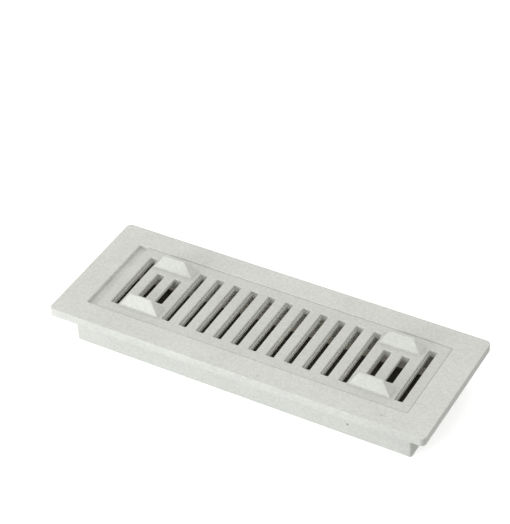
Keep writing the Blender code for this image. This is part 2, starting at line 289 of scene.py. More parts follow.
class GRILLE_PG_stage(bpy.types.PropertyGroup):
    """Floor, light and camera."""

    floor_size: length("Floor size", "Side of the square floor", 5.0)
    floor_colour: colour("Floor", "Colour that the floor bounces light with", (0.60, 0.60, 0.60))
    floor_right: colour("Floor on the right", "The same colour, from the grille's right end on",
                        (0.12, 0.12, 0.12))
    floor_glow: share("Floor glow", "Light that the floor adds to what the camera sees of it", 0.46)
    # The card shows the camera a painted shadow up to this line along Y, and painted light beyond it
    card_painted_shade_reach: length("Card's dark part", "Where the dark part of the card in the duct ends, along Y",
                      28.9 * MM)
    sky_level: FloatProperty(name="Sky level", description="Level of the even light all round",
                             default=0.86, min=0.0)
    sky_colour: colour("Sky colour", "Colour of the even light", (1.0, 0.995, 0.98))
    key_colour: colour("Key colour", "Colour of the key light", (0.94, 0.98, 1.0))
    key_level: FloatProperty(name="Key level", default=0.49, min=0.0,
                             description="Level of the key light on a face turned to it")
    key_distance: length("Key distance", "Distance of the key light", 1.25)
    key_size: length("Key size", "Side of the square key light", 0.55)
    key_turn: turn("Key turn", "Key light's turn to the left of the front", 30.0)
    key_height: turn("Key height", "Key light's height above the floor", 11.0)
    focal_length: FloatProperty(name="Focal length", description="Camera's focal length in millimetres",
                                default=135.92, min=1.0, unit="CAMERA")
    view_turn: turn("View turn", "Camera's turn to the right of the front", 30.56)
    view_height: turn("View height", "Camera's height above the floor", 39.22)
    view_roll: turn("View roll", "Camera's roll about its line of sight", -2.405)
    view_distance: length("View distance", "Camera's distance from the point that it looks at", 1.2331)
    view_point: FloatVectorProperty(name="View point", description="Point that the camera looks at",
                                    default=(-0.0350, 0.0486, 0.0277), size=3, precision=4,
                                    subtype="XYZ", unit="LENGTH")


SETTINGS = {
    "grille_slots": GRILLE_PG_slots,
    "grille_frame": GRILLE_PG_frame,
    "grille_shutter": GRILLE_PG_shutter,
    "grille_grips": GRILLE_PG_grips,
    "grille_clips": GRILLE_PG_clips,
    "grille_plastic": GRILLE_PG_plastic,
    "grille_stage": GRILLE_PG_stage,
}


# Shapes

def rounded_path(corners, radii):
    """A path in a plane with round corners, as (points, edge mask, hollow mask).

    Each corner with turn t and radius r becomes an arc that starts r tan(t/2) before it. With c the arc's
    centre, s the way to the centre and w the way in, the arc's points are c - r s cos(f) + r w sin(f) for f
    from 0 to t. A support point stands a little before and after each arc, on the straight that is left
    between two arcs. With the air on the path's left, a turn to the right is an outer edge, and a turn to
    the left is a hollow."""
    corners = np.asarray(corners, float)
    steps = np.diff(corners, axis=0)
    lengths = np.linalg.norm(steps, axis=1)
    ways = steps / lengths[:, None]
    across = ways[:-1, 0] * ways[1:, 1] - ways[:-1, 1] * ways[1:, 0]
    turned = np.arctan2(across, (ways[:-1] * ways[1:]).sum(axis=1))
    used = np.asarray(radii) * np.tan(np.abs(turned) / 2)
    straight = lengths - np.append(used, 0.0) - np.append(0.0, used)
    supports = np.minimum(SUPPORT_REACH, SUPPORT_SHARE * straight)
    points, edges, hollows = [corners[:1]], [[0.0]], [[0.0]]
    for index, radius in enumerate(radii):
        corner, way_in, way_out, angle = corners[index + 1], ways[index], ways[index + 1], turned[index]
        inward = math.copysign(1.0, angle) * np.array((-way_in[1], way_in[0]))
        start = corner - way_in * used[index]
        end = corner + way_out * used[index]
        centre = start + inward * radius
        swing = np.linspace(0.0, abs(angle), EDGE_STEPS + 1)[:, None]
        arc = centre - inward * radius * np.cos(swing) + way_in * radius * np.sin(swing)
        points += [start - way_in * supports[index], arc, end + way_out * supports[index + 1]]
        ramp = np.concatenate(([0.0], np.sin(np.pi * swing[:, 0] / abs(angle)) ** 0.5, [0.0]))
        full = np.concatenate(([0.0], np.ones(EDGE_STEPS + 1), [0.0]))
        edges.append(ramp if angle < 0 else 0.0 * ramp)
        hollows.append(full if angle > 0 else 0.0 * full)
    points.append(corners[-1:])
    return np.vstack(points), np.concatenate(edges + [[0.0]]), np.concatenate(hollows + [[0.0]])


class Skin:
    """Grids of points that together make one closed skin, with an edge mask and a hollow mask."""

    def __init__(self):
        self.points = []
        self.faces = []
        self.edges = []
        self.hollows = []
        self.count = 0

    def add(self, grid, edge, hollow):
        """Adds a grid of rings, closed round each ring: its face k, j joins rings k and k + 1."""
        levels, around = grid.shape[:2]
        level = np.arange(levels - 1)[:, None]
        place = np.arange(around)[None, :]
        following = (place + 1) % around
        corners = [level * around + place, (level + 1) * around + place,
                   (level + 1) * around + following, level * around + following]
        self.faces.append(np.stack(corners, axis=-1).reshape(-1, 4) + self.count)
        self.points.append(grid.reshape(-1, 3))
        self.edges.append(np.repeat(edge, around))
        self.hollows.append(np.repeat(hollow, around))
        self.count += levels * around


def ring_grid(long_path, wide_path, radii, centre_x, centre_y=0.0, stations=()):
    """Rounded rectangles one inside or above another, as a grid of rings.

    Ring k has half length a and height z from the long path, half width b and height z' from the wide path,
    and corner radius r. Its corner points are (+-(a - r) + r cos f, +-(b - r) + r sin f), at height
    z cos^2 f + z' sin^2 f. The stations are places along X where its long sides have a point too."""
    half_x, height_x = (column[:, None] for column in long_path.T)
    half_y, height_y = (column[:, None] for column in wide_path.T)
    radius = np.minimum(np.minimum(radii[:, None], half_x), half_y)
    centre = np.broadcast_to(np.asarray(centre_x, float), (len(long_path),))[:, None]
    quarter = np.linspace(0.0, np.pi / 2, CORNER_STEPS + 1)
    stations = np.asarray(stations, float)
    parts = []
    for index, (side_x, side_y) in enumerate(((1, 1), (-1, 1), (-1, -1), (1, -1))):
        angle = quarter + index * np.pi / 2
        x = centre + side_x * (half_x - radius) + radius * np.cos(angle)
        y = centre_y + side_y * (half_y - radius) + radius * np.sin(angle)
        z = height_x * np.cos(angle) ** 2 + height_y * np.sin(angle) ** 2
        parts.append(np.stack((x, y, z), axis=-1))
        if index % 2 == 0 and len(stations):
            row = stations[::-1] if index == 0 else stations
            x = np.broadcast_to(row, (len(half_y), len(row)))
            y = np.broadcast_to(centre_y + side_y * half_y, x.shape)
            parts.append(np.stack((x, y, np.broadcast_to(height_y, x.shape)), axis=-1))
    return np.concatenate(parts, axis=1)


def path_radii(corner_radii, corner_halves, path):
    """The plan radius of each ring: between corners it follows them, and on an arc it grows or shrinks as
    much as the half length does."""
    per_corner = EDGE_STEPS + 3
    radii = np.repeat(np.asarray(corner_radii[1:-1], float), per_corner)
    halves = np.repeat(np.asarray(corner_halves[1:-1], float), per_corner)
    grown = np.maximum(radii + path[1:-1, 0] - halves, 0.0)
    return np.concatenate(([corner_radii[0]], grown, [corner_radii[-1]]))


def add_rings(skin, corners, roundings, centre_x, centre_y=0.0, end_centre=None, stations=()):
    """Adds the skin that a list of (half length, half width, height, plan radius) corners describes."""
    corners = np.asarray(corners, float)
    long_path, edge, hollow = rounded_path(corners[:, (0, 2)], roundings)
    wide_path = rounded_path(corners[:, (1, 2)], roundings)[0]
    radii = path_radii(corners[:, 3], corners[:, 0], long_path)
    centres = np.full(len(radii), float(centre_x))
    if end_centre is not None:
        centres[[0, -1]] = end_centre
    skin.add(ring_grid(long_path, wide_path, radii, centres, centre_y, stations), edge, hollow)


def make_piece(name, skin, material, body):
    """Welds a skin into one object, and checks that it is closed."""
    mesh = bpy.data.meshes.new(name)
    mesh.from_pydata(np.vstack(skin.points).tolist(), [], np.vstack(skin.faces).tolist())
    for attribute, values in (("edge_mask", skin.edges), ("hollow_mask", skin.hollows)):
        layer = mesh.attributes.new(attribute, "FLOAT", "POINT")
        layer.data.foreach_set("value", np.concatenate(values).astype(np.float32))
    shape = bmesh.new()
    shape.from_mesh(mesh)
    bmesh.ops.remove_doubles(shape, verts=shape.verts, dist=WELD_DISTANCE)
    bmesh.ops.dissolve_degenerate(shape, edges=shape.edges, dist=WELD_DISTANCE)
    open_edges = sum(not edge.is_manifold for edge in shape.edges)
    if open_edges:
        raise RuntimeError(f"{name} isn't closed: {open_edges} edges have other than two faces")
    if shape.calc_volume(signed=True) < 0:
        raise RuntimeError(f"{name} is inside out")
    shape.to_mesh(mesh)
    shape.free()
    mesh.shade_smooth()
    mesh.materials.append(material)
    piece = bpy.data.objects.new(name, mesh)
    bpy.context.scene.collection.objects.link(piece)
    flattened = piece.modifiers.new("even_flats", "WEIGHTED_NORMAL")
    flattened.mode = "FACE_AREA"
    flattened.weight = 100
    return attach(piece, body)


def slot_row(settings):
    """Each slot's place along the row from its middle, and whether it is a short one."""
    index = np.arange(settings.count)
    short = np.isin(index, (1, 2, settings.count - 3, settings.count - 2))
    return (index - (settings.count - 1) / 2) * settings.pitch, short


def grip_places(settings):
    """The middles of the two pairs of short slots, along the row."""
    place, short = slot_row(settings)
    return place[short].reshape(2, 2).mean(axis=1)


def add_slot_cell(skin, x, half_cell, half_field, half_slot, half_length, radius, heights, roundings):
    """Adds one slot with the strip of plate round it.

    From the strip's underside to its top, the rings go from the strip's rectangle to the slot's rounded
    outline, up its wall and back out."""
    low, high = heights
    corners = [
        (half_cell, half_field, low, 0.0),
        (half_slot, half_length, low, radius),
        (half_slot, half_length, high, radius),
        (half_cell, half_field, high, 0.0),
    ]
    add_rings(skin, corners, roundings, x)


# The edge mask of a clip's six rings
CLIP_EDGES = np.array((0.0, 1.0, 0.0, 0.0, 1.0, 0.0))


def clip_grid(outline, x, half_width, side, edge):
    """A clip's outline carried along X, as a grid of rings.

    The rings stand at x - w, x - w + e, x + w - e and x + w, with w the half width and e the edge radius.
    The outer two are drawn in towards the outline's middle by e, and the first and last ring are its
    middle."""
    middle = outline.mean(axis=0)
    offset = outline - middle
    drawn_in = middle + offset * (1.0 - edge / np.linalg.norm(offset, axis=1).max())
    centre = np.broadcast_to(middle, outline.shape)
    rings = [centre, drawn_in, outline, outline, drawn_in, centre]
    places = (-half_width, -half_width, edge - half_width, half_width - edge, half_width, half_width)
    grid = np.array([[(x + place, side * y, z) for y, z in ring] for ring, place in zip(rings, places)])
    return grid[:, ::-1] if side > 0 else grid


# Finish

def node_group(name, inputs, outputs):
    """A shader node group with its named sockets, as (tree, input node, output node)."""
    tree = bpy.data.node_groups.new(name, "ShaderNodeTree")
    for label, kind, default in inputs:
        socket = tree.interface.new_socket(name=label, in_out="INPUT", socket_type=f"NodeSocket{kind}")
        if default is not None:
            socket.default_value = default
    for label, kind in outputs:
        tree.interface.new_socket(name=label, in_out="OUTPUT", socket_type=f"NodeSocket{kind}")
    return tree, tree.nodes.new("NodeGroupInput"), tree.nodes.new("NodeGroupOutput")


def feed(tree, socket, value):
    """Links a value that is a socket, or writes one that is a number or colour."""
    if isinstance(value, bpy.types.NodeSocket):
        tree.links.new(value, socket)
    else:
        socket.default_value = value


def math_node(tree, operation, first, second=0.0, clamp=False):
    node = tree.nodes.new("ShaderNodeMath")
    node.operation = operation
    node.use_clamp = clamp
    feed(tree, node.inputs[0], first)
    feed(tree, node.inputs[1], second)
    return node.outputs[0]


def remap(tree, value, low, high, new_low, new_high):
    """Maps a value from one range to another, held at the ends."""
    node = tree.nodes.new("ShaderNodeMapRange")
    for socket, number in zip(node.inputs[:5], (value, low, high, new_low, new_high)):
        feed(tree, socket, number)
    return node.outputs[0]


def noise(tree, vector, size, detail, roughness=0.5):
    """Noise whose features have a given size."""
    node = tree.nodes.new("ShaderNodeTexNoise")
    feed(tree, node.inputs["Vector"], vector)
    feed(tree, node.inputs["Scale"], math_node(tree, "DIVIDE", 1.0, size))
    feed(tree, node.inputs["Detail"], detail)
    feed(tree, node.inputs["Roughness"], roughness)
    return node.outputs[0]


def mix_colour(tree, share_of_second, first, second):
    node = tree.nodes.new("ShaderNodeMix")
    node.data_type = "RGBA"
    feed(tree, node.inputs["Factor"], share_of_second)
    feed(tree, node.inputs["A"], first)
    feed(tree, node.inputs["B"], second)
    return node.outputs["Result"]


def axis_parts(tree, vector):
    """A vector's parts along X, Y and Z."""
    node = tree.nodes.new("ShaderNodeSeparateXYZ")
    feed(tree, node.inputs[0], vector)
    return node.outputs


def object_place(tree):
    """The place of a point on its piece."""
    return tree.nodes.new("ShaderNodeTexCoord").outputs["Object"]


def new_material(name):
    """A material, as (material, its node tree, its shader)."""
    material = bpy.data.materials.new(name)
    material.use_nodes = True
    return material, material.node_tree, material.node_tree.nodes["Principled BSDF"]


def grain_group():
    """Spark-eroded grain: its height, a cloudy tone of large patches and a mottle of small ones."""
    tree, given, result = node_group(
        "moulded_grain",
        [("Vector", "Vector", None), ("Patch Size", "Float", 0.026), ("Mottle Size", "Float", 0.0016),
         ("Grain Size", "Float", 0.00028), ("Smoothed", "Float", 0.0)],
        [("Patches", "Float"), ("Mottle", "Float"), ("Height", "Float")])
    vector = given.outputs["Vector"]
    patches = noise(tree, vector, given.outputs["Patch Size"], *PATCH_NOISE)
    mottle = noise(tree, vector, given.outputs["Mottle Size"], *MOTTLE_NOISE)
    pits = noise(tree, vector, given.outputs["Grain Size"], *PIT_NOISE)
    kept = math_node(tree, "SUBTRACT", 1.0, given.outputs["Smoothed"], clamp=True)
    relief = math_node(tree, "ADD", pits, math_node(tree, "MULTIPLY", mottle, MOTTLE_RELIEF))
    height = math_node(tree, "MULTIPLY", relief, kept)
    tree.links.new(remap(tree, patches, *NOISE_SPAN, 0.0, 1.0), result.inputs["Patches"])
    tree.links.new(remap(tree, mottle, *NOISE_SPAN, 0.0, 1.0), result.inputs["Mottle"])
    tree.links.new(height, result.inputs["Height"])
    return tree


def speck_group():
    """Small specks: a disc in the middle of some cells of a Voronoi pattern, picked by their colour."""
    tree, given, result = node_group(
        "moulded_specks",
        [("Vector", "Vector", None), ("Spacing", "Float", 0.011), ("Speck Size", "Float", 0.0003),
         ("Share", "Float", 0.07)],
        [("Mask", "Float")])
    cells = tree.nodes.new("ShaderNodeTexVoronoi")
    feed(tree, cells.inputs["Vector"], given.outputs["Vector"])
    feed(tree, cells.inputs["Scale"], math_node(tree, "DIVIDE", 1.0, given.outputs["Spacing"]))
    reach = math_node(tree, "DIVIDE", given.outputs["Speck Size"], given.outputs["Spacing"])
    parts = tree.nodes.new("ShaderNodeSeparateColor")
    feed(tree, parts.inputs["Color"], cells.outputs["Color"])
    chosen = math_node(tree, "LESS_THAN", parts.outputs["Red"], given.outputs["Share"])
    size = math_node(tree, "MULTIPLY", reach, math_node(tree, "ADD", parts.outputs["Green"], SPECK_LEAST))
    core = math_node(tree, "MULTIPLY", size, SPECK_CORE)
    disc = remap(tree, cells.outputs["Distance"], core, size, 1.0, 0.0)
    tree.links.new(math_node(tree, "MULTIPLY", disc, chosen), result.inputs["Mask"])
    return tree


def placed_speck_group():
    """One speck at a given place: a disc with a soft edge, of a given radius and strength."""
    tree, given, result = node_group(
        "placed_speck",
        [("Vector", "Vector", None), ("Place", "Vector", None), ("Radius", "Float", 0.001),
         ("Strength", "Float", 0.5)],
        [("Mask", "Float")])
    apart = tree.nodes.new("ShaderNodeVectorMath")
    apart.operation = "DISTANCE"
    feed(tree, apart.inputs[0], given.outputs["Vector"])
    feed(tree, apart.inputs[1], given.outputs["Place"])
    core = math_node(tree, "MULTIPLY", given.outputs["Radius"], PLACED_CORE)
    disc = remap(tree, apart.outputs["Value"], core, given.outputs["Radius"], 1.0, 0.0)
    tree.links.new(math_node(tree, "MULTIPLY", disc, given.outputs["Strength"]), result.inputs["Mask"])
    return tree


def wear_dust_shade_group():
    """Handling, dust and painted shade: worn edges, and hollows darkened by dust and painted shade, both
    broken up by noise.
    """
    tree, given, result = node_group(
        "edge_wear_dust_and_shade",
        [("Vector", "Vector", None), ("Edge", "Float", 0.0), ("Hollow", "Float", 0.0),
         ("Break-up Size", "Float", 0.004), ("Dust And Shade Amount", "Float", 0.4)],
        [("Worn", "Float"), ("Dust And Painted Shade", "Float")])
    broken = noise(tree, given.outputs["Vector"], given.outputs["Break-up Size"], *BREAK_UP_NOISE)
    worn = math_node(tree, "MULTIPLY", given.outputs["Edge"], remap(tree, broken, *WORN_SHARE))
    # Dust and painted shade in hollows, broken up by noise
    dust_and_painted_shade = math_node(tree, "MULTIPLY", given.outputs["Hollow"], remap(tree, broken, *DUST_AND_SHADE_SHARE))
    tree.links.new(worn, result.inputs["Worn"])
    tree.links.new(math_node(tree, "MULTIPLY", dust_and_painted_shade, given.outputs["Dust And Shade Amount"]), result.inputs["Dust And Painted Shade"])
    return tree


def shared_group(name, build):
    """A node group that is built once and found by its name after that."""
    return bpy.data.node_groups.get(name) or build()


def place_group(tree, group, values):
    node = tree.nodes.new("ShaderNodeGroup")
    node.node_tree = group
    for label, value in values.items():
        feed(tree, node.inputs[label], value)
    return node


def attribute_value(tree, name):
    node = tree.nodes.new("ShaderNodeAttribute")
    node.attribute_name = name
    return node.outputs["Fac"]


def folded(tree, value, middle, offset, half):
    """max(||v - m| - p| - a, 0): how far v is from the nearer of two bars of half width a, at m - p and
    m + p."""
    apart = math_node(tree, "ABSOLUTE", math_node(tree, "SUBTRACT", value, middle))
    inner = math_node(tree, "ABSOLUTE", math_node(tree, "SUBTRACT", apart, offset))
    return math_node(tree, "MAXIMUM", math_node(tree, "SUBTRACT", inner, half), 0.0)


def grip_contact_shade_group():
    """How near a point of the plate's top is to the foot of one of four grips: 1 at it, 0 from the reach
    on. It marks where painted contact shade lies round the grips."""
    tree, given, result = node_group(
        "painted_grip_contact_shade",
        [("Vector", "Vector", None), ("Middle", "Float", 0.0), ("Pair Offset", "Float", 0.078),
         ("Half Length", "Float", 0.0134), ("Row Offset", "Float", 0.02), ("Half Depth", "Float", 0.0038),
         ("Plate Top", "Float", 0.0275), ("Reach", "Float", 0.003)],
        [("Near", "Float")])
    x, y, z = axis_parts(tree, given.outputs["Vector"])
    along = folded(tree, x, given.outputs["Middle"], given.outputs["Pair Offset"],
                   given.outputs["Half Length"])
    across = folded(tree, y, 0.0, given.outputs["Row Offset"], given.outputs["Half Depth"])
    squares = [math_node(tree, "MULTIPLY", part, part) for part in (along, across)]
    distance = math_node(tree, "SQRT", math_node(tree, "ADD", *squares))
    near = remap(tree, distance, 0.0, given.outputs["Reach"], 1.0, 0.0)
    height = math_node(tree, "ABSOLUTE", math_node(tree, "SUBTRACT", z, given.outputs["Plate Top"]))
    level = remap(tree, height, *PLATE_LEVEL, 1.0, 0.0)
    tree.links.new(math_node(tree, "MULTIPLY", near, level), result.inputs["Near"])
    return tree


def satin_plastic(name, base, look, feet=None, specks=()):
    """Off-white satin plastic: cloudy tone, mottle, grain, a few specks, worn edges, and hollows darkened
    by dust and painted shade.

    The feet are the values of the group that finds the plate's top round the grips, where painted contact
    shade lies.
    The specks are those with a place of their own."""
    known = bpy.data.materials.get(name)
    if known:
        return known
    material, tree, shader = new_material(name)
    place = object_place(tree)
    hollow = attribute_value(tree, "hollow_mask")
    # Painted contact shade round the grips' feet joins the hollows' darkening
    if feet:
        near = place_group(tree, shared_group("painted_grip_contact_shade", grip_contact_shade_group), {"Vector": place, **feet})
        hollow = math_node(tree, "MAXIMUM", hollow, near.outputs["Near"])
    wear = place_group(tree, shared_group("edge_wear_dust_and_shade", wear_dust_shade_group), {
        "Vector": place, "Edge": attribute_value(tree, "edge_mask"), "Hollow": hollow,
        "Dust And Shade Amount": look.dust_and_shade_amount})
    grain = place_group(tree, shared_group("moulded_grain", grain_group), {
        "Vector": place, "Patch Size": look.patch_size, "Mottle Size": look.mottle_size,
        "Grain Size": look.grain_size, "Smoothed": wear.outputs["Worn"]})
    speckled = place_group(tree, shared_group("moulded_specks", speck_group), {
        "Vector": place, "Spacing": look.speck_spacing, "Speck Size": look.speck_size,
        "Share": look.speck_share}).outputs["Mask"]
    for middle, radius, strength in specks:
        speck = place_group(tree, shared_group("placed_speck", placed_speck_group), {
            "Vector": place, "Place": middle, "Radius": radius, "Strength": strength})
        speckled = math_node(tree, "MAXIMUM", speckled, speck.outputs["Mask"])

    base = Vector(base)
    cloudy = mix_colour(tree, grain.outputs["Patches"], (*base * (1.0 - look.patch_tone), 1.0),
                        (*base * (1.0 + look.patch_tone), 1.0))
    shade = remap(tree, grain.outputs["Mottle"], 0.0, 1.0, 1.0 - look.grain_tone, 1.0 + look.grain_tone)
    mottled = tree.nodes.new("ShaderNodeVectorMath")
    mottled.operation = "SCALE"
    feed(tree, mottled.inputs[0], cloudy)
    feed(tree, mottled.inputs["Scale"], shade)
    # Hollows darken towards the dust colour, partly dust and partly painted shade; round the grips' feet it
    # is painted contact shade
    dust_and_painted_shade = mix_colour(tree, wear.outputs["Dust And Painted Shade"], mottled.outputs[0], (*look.dust, 1.0))
    finished = mix_colour(tree, speckled, dust_and_painted_shade, (*look.speck, 1.0))
    tree.links.new(finished, shader.inputs["Base Color"])

    smoothest, roughest = (look.roughness + swing for swing in ROUGHNESS_SWING)
    rough = remap(tree, grain.outputs["Mottle"], 0.0, 1.0, smoothest, roughest)
    handled = math_node(tree, "MULTIPLY", wear.outputs["Worn"], look.roughness - look.worn_roughness)
    rough = math_node(tree, "SUBTRACT", rough, handled)
    dust_part = math_node(tree, "MULTIPLY", wear.outputs["Dust And Painted Shade"], DUST_ROUGHNESS)
    rough = math_node(tree, "ADD", rough, dust_part, clamp=True)
    tree.links.new(rough, shader.inputs["Roughness"])
    shader.inputs["IOR"].default_value = PLASTIC_IOR

    bump = tree.nodes.new("ShaderNodeBump")
    bump.inputs["Strength"].default_value = 1.0
    bump.inputs["Distance"].default_value = look.grain_depth
    tree.links.new(grain.outputs["Height"], bump.inputs["Height"])
    tree.links.new(bump.outputs["Normal"], shader.inputs["Normal"])
    return material


# Pieces

class GRILLE_OT_frame(bpy.types.Operator):
    """Build the frame: faceplate, turned-down rim, spigot and slotted bed in one moulding"""

    bl_idname = "grille.frame"
    bl_label = "Frame moulding"

    def execute(self, context):
        scene = context.scene
        size, slots = scene.grille_frame, scene.grille_slots
        face = (size.face_length / 2, size.face_width / 2)
        window = (face[0] - size.end_border, face[1] - size.side_border)
        pan = (window[0] + size.window_wall, window[1] + size.window_wall)
        hollow = (face[0] - size.rim_thickness, face[1] - size.rim_thickness)
        spigot = (face[0] - size.spigot_end_inset, face[1] - size.spigot_side_inset)
        duct = (spigot[0] - size.spigot_wall, spigot[1] - size.spigot_wall)
        field = (slots.count * slots.pitch / 2, slots.field / 2)
        top = size.face_height
        underside = top - size.face_thickness
        rim = top - size.rim_height
        bed_top = top - size.bed_depth
        bed_underside = bed_top - size.bed_thickness

        corners = [
            (*field, bed_top, 0.0),
            (*window, bed_top, size.window_corner),
            (*window, top, size.window_corner),
            (*face, top, size.face_corner),
            (*face, rim, size.face_corner),
            (*hollow, rim, size.rim_corner),
            (*hollow, underside, size.rim_corner),
            (*spigot, underside, size.spigot_corner),
            (*spigot, 0.0, size.spigot_corner),
            (*duct, 0.0, size.spigot_inner),
            (*duct, underside, size.spigot_inner),
            (*pan, underside, size.window_corner),
            (*pan, bed_underside, size.window_corner),
            (*field, bed_underside, 0.0),
        ]
        small = size.small_edge
        roundings = [small, size.window_edge, size.face_edge] + 9 * [small]
        places, short = slot_row(slots)
        wide = grip_places(slots)
        borders = places[1:] - slots.pitch / 2
        inside_wide = np.abs(borders[:, None] - wide[None, :]).min(axis=1) < slots.pitch / 4
        stations = SHUTTER_MIDDLE + borders[~inside_wide]

        skin = Skin()
        add_rings(skin, corners, roundings, 0.0, end_centre=SHUTTER_MIDDLE, stations=stations)
        heights = (bed_underside, bed_top)
        edges = (size.slot_edge, size.slot_edge)
        for place in places[~short]:
            add_slot_cell(skin, SHUTTER_MIDDLE + place, slots.pitch / 2, field[1], slots.bed_width / 2,
                          slots.long / 2, slots.corner, heights, edges)
        for place in wide:
            add_slot_cell(skin, SHUTTER_MIDDLE + place, slots.pitch, field[1],
                          (slots.pitch + slots.width) / 2, slots.short / 2, slots.corner, heights, edges)
        look = scene.grille_plastic
        plastic = satin_plastic("satin_frame", look.frame, look, specks=FRAME_SPECKS)
        piece = make_piece("frame_moulding", skin, plastic, "frame")
        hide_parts("grille_frame")
        return {"FINISHED"}


def shutter_levels(scene):
    """The heights of the plate's top and underside."""
    top = scene.grille_frame.face_height - scene.grille_shutter.below_face
    return top, top - scene.grille_shutter.thickness


def grip_half_length(scene):
    """Half a grip's length at its foot, which ends a margin short of the next long slots."""
    slots = scene.grille_slots
    return (3 * slots.pitch - slots.width) / 2 - scene.grille_grips.end_margin


def shutter_plastic(scene):
    """The shutter's plastic, with painted contact shade round the feet of its grips."""
    size, look = scene.grille_grips, scene.grille_plastic
    return satin_plastic("satin_shutter", look.shutter, look, {
        "Middle": SHUTTER_MIDDLE + size.shift, "Pair Offset": grip_places(scene.grille_slots)[1],
        "Half Length": grip_half_length(scene), "Row Offset": size.spacing / 2,
        "Half Depth": size.depth / 2, "Plate Top": shutter_levels(scene)[0], "Reach": size.contact_shade_reach})


class GRILLE_OT_shutter(bpy.types.Operator):
    """Build the sliding plate with its row of slots"""

    bl_idname = "grille.shutter"
    bl_label = "Shutter plate"

    def execute(self, context):
        scene = context.scene
        size, slots = scene.grille_shutter, scene.grille_slots
        top, underside = shutter_levels(scene)
        plate = ((SHUTTER_HIGH.x - SHUTTER_LOW.x) / 2, (SHUTTER_HIGH.y - SHUTTER_LOW.y) / 2)
        field = (slots.count * slots.pitch / 2, slots.field / 2)
        corners = [
            (*field, top, 0.0),
            (*plate, top, size.corner),
            (*plate, underside, size.corner),
            (*field, underside, 0.0),
        ]
        places, short = slot_row(slots)
        skin = Skin()
        add_rings(skin, corners, (size.top_edge, size.lower_edge), SHUTTER_MIDDLE,
                  stations=SHUTTER_MIDDLE + places[1:] - slots.pitch / 2)
        for place, is_short in zip(places, short):
            half_length = (slots.short if is_short else slots.long) / 2
            add_slot_cell(skin, SHUTTER_MIDDLE + place, slots.pitch / 2, field[1], slots.width / 2,
                          half_length, slots.corner, (underside, top), (size.lower_edge, size.slot_edge))
        piece = make_piece("shutter_plate", skin, shutter_plastic(scene), "shutter")
        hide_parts("sliding_shutter")
        return {"FINISHED"}


class GRILLE_OT_grips(bpy.types.Operator):
    """Build the four hipped finger grips, which stand on the plate as part of the same moulding"""

    bl_idname = "grille.grips"
    bl_label = "Finger grips"

    def execute(self, context):
        scene = context.scene
        size = scene.grille_grips
        top, underside = shutter_levels(scene)
        foot = (grip_half_length(scene), size.depth / 2)
        ridge = (foot[0] - size.end_slope, size.ridge / 2)
        spine = foot[0] - size.end_slope - size.ridge / 2
        skirt = (foot[0] + SKIRT_SHARE * size.foot, foot[1] + SKIRT_SHARE * size.foot)
        surface = top + SKIRT_LIFT
        buried = (top + underside) / 2
        corners = [
            (spine, 0.0, SHUTTER_HIGH.z, 0.0),
            (*ridge, SHUTTER_HIGH.z, size.corner),
            (*foot, surface, size.corner),
            (*skirt, surface, size.corner + size.foot),
            (*skirt, buried, size.corner + size.foot),
            (spine, 0.0, buried, 0.0),
        ]
        skin = Skin()
        roundings = (size.edge, size.foot, 0.0, 0.0)
        for place in grip_places(scene.grille_slots):
            for side in (-1, 1):
                add_rings(skin, corners, roundings, SHUTTER_MIDDLE + place + size.shift,
                          side * size.spacing / 2)
        make_piece("finger_grips", skin, shutter_plastic(scene), "shutter")
        return {"FINISHED"}


class GRILLE_OT_clips(bpy.types.Operator):
    """Build the four snap clips that hang from the plate and hook under the bed"""

    bl_idname = "grille.clips"
    bl_label = "Snap clips"

    def execute(self, context):
        scene = context.scene
        size, slots, bed = scene.grille_clips, scene.grille_slots, scene.grille_frame
        top, underside = shutter_levels(scene)
        face = slots.short / 2 - size.clearance
        back = face - size.thickness
        nose = face + size.clearance + size.catch
        shoulder = bed.face_height - bed.bed_depth - bed.bed_thickness - size.slide_gap
        tip = shoulder - size.head - size.lead_in
        buried = (top + underside) / 2
        outline = np.array([
            (back, buried),
            (back, tip),
            (face - size.thickness / 2, tip),
            (nose, shoulder - size.head),
            (nose, shoulder),
            (face, shoulder),
            (face, buried),
        ])
        half_width = slots.width / 2 - size.clearance
        skin = Skin()
        for place in grip_places(slots):
            for side in (-1, 1):
                grid = clip_grid(outline, SHUTTER_MIDDLE + place, half_width, side, size.edge)
                skin.add(grid, CLIP_EDGES, np.zeros(len(CLIP_EDGES)))
        make_piece("snap_clips", skin, shutter_plastic(scene), "shutter")
        return {"FINISHED"}


# Stage

def white_to_camera(tree):
    """1 for a ray that shows the background to the eye: a camera, glossy or transmission ray."""
    path = tree.nodes.new("ShaderNodeLightPath")
    seen = math_node(tree, "MAXIMUM", path.outputs["Is Camera Ray"], path.outputs["Is Glossy Ray"])
    return math_node(tree, "MAXIMUM", seen, path.outputs["Is Transmission Ray"])


def stage_sheet(name, low, high, height, material):
    """A flat rectangle of the stage."""
    x = np.array((low[0], high[0], high[0], low[0]))
    y = np.array((low[1], low[1], high[1], high[1]))
    mesh = bpy.data.meshes.new(name)
    mesh.from_pydata(np.stack((x, y, np.full(4, height)), axis=-1).tolist(), [], [(0, 1, 2, 3)])
    mesh.materials.append(material)
    sheet = bpy.data.objects.new(name, mesh)
    bpy.context.scene.collection.objects.link(sheet)


def matt_stage_finish(tree, shader, bounced, shown, glow_colour, glow):
    """Matt, bouncing light with one colour and showing to the camera another and a glow of its own."""
    seen = white_to_camera(tree)
    tree.links.new(mix_colour(tree, seen, bounced, shown), shader.inputs["Base Color"])
    shader.inputs["Roughness"].default_value = 1.0
    shader.inputs["Specular IOR Level"].default_value = 0.0
    shader.inputs["Emission Color"].default_value = glow_colour
    tree.links.new(math_node(tree, "MULTIPLY", seen, glow), shader.inputs["Emission Strength"])


